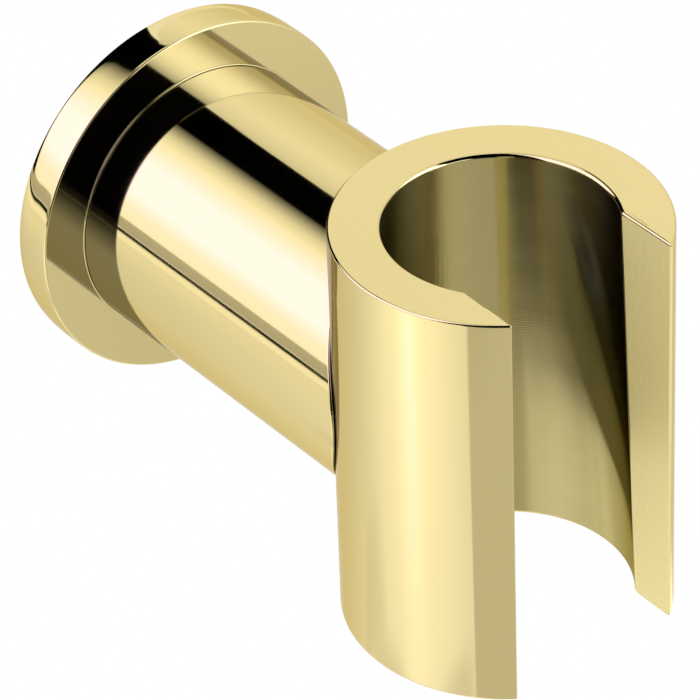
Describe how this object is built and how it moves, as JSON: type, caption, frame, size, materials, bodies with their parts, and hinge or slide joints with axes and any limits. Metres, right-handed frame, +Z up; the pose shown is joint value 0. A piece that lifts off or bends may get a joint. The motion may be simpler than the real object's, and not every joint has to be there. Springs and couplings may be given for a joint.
{
  "type": "hand shower holder",
  "caption": "Wall-mounted hand shower holder: an upright cup with a tapered bore and a slot down its front, on a stout round neck with a round wall flange.",
  "frame": {"origin": "centre of the flange's back, on the wall", "axes": "+Z up, along the cup's axis; +Y into the wall, along the neck; +X to the right for someone who faces the wall"},
  "size_m": [0.038, 0.0643, 0.0434],
  "materials": {
    "polished_brass": "polished",
    "turned_brass": "as turned",
    "steel": "satin"
  },
  "bodies": {
    "root": {"cup": "polished_brass", "neck": "polished_brass", "flange": "polished_brass", "wall_base": "turned_brass", "grub_screw": "steel", "cup_screw": "steel"}
  },
  "joints": []
}
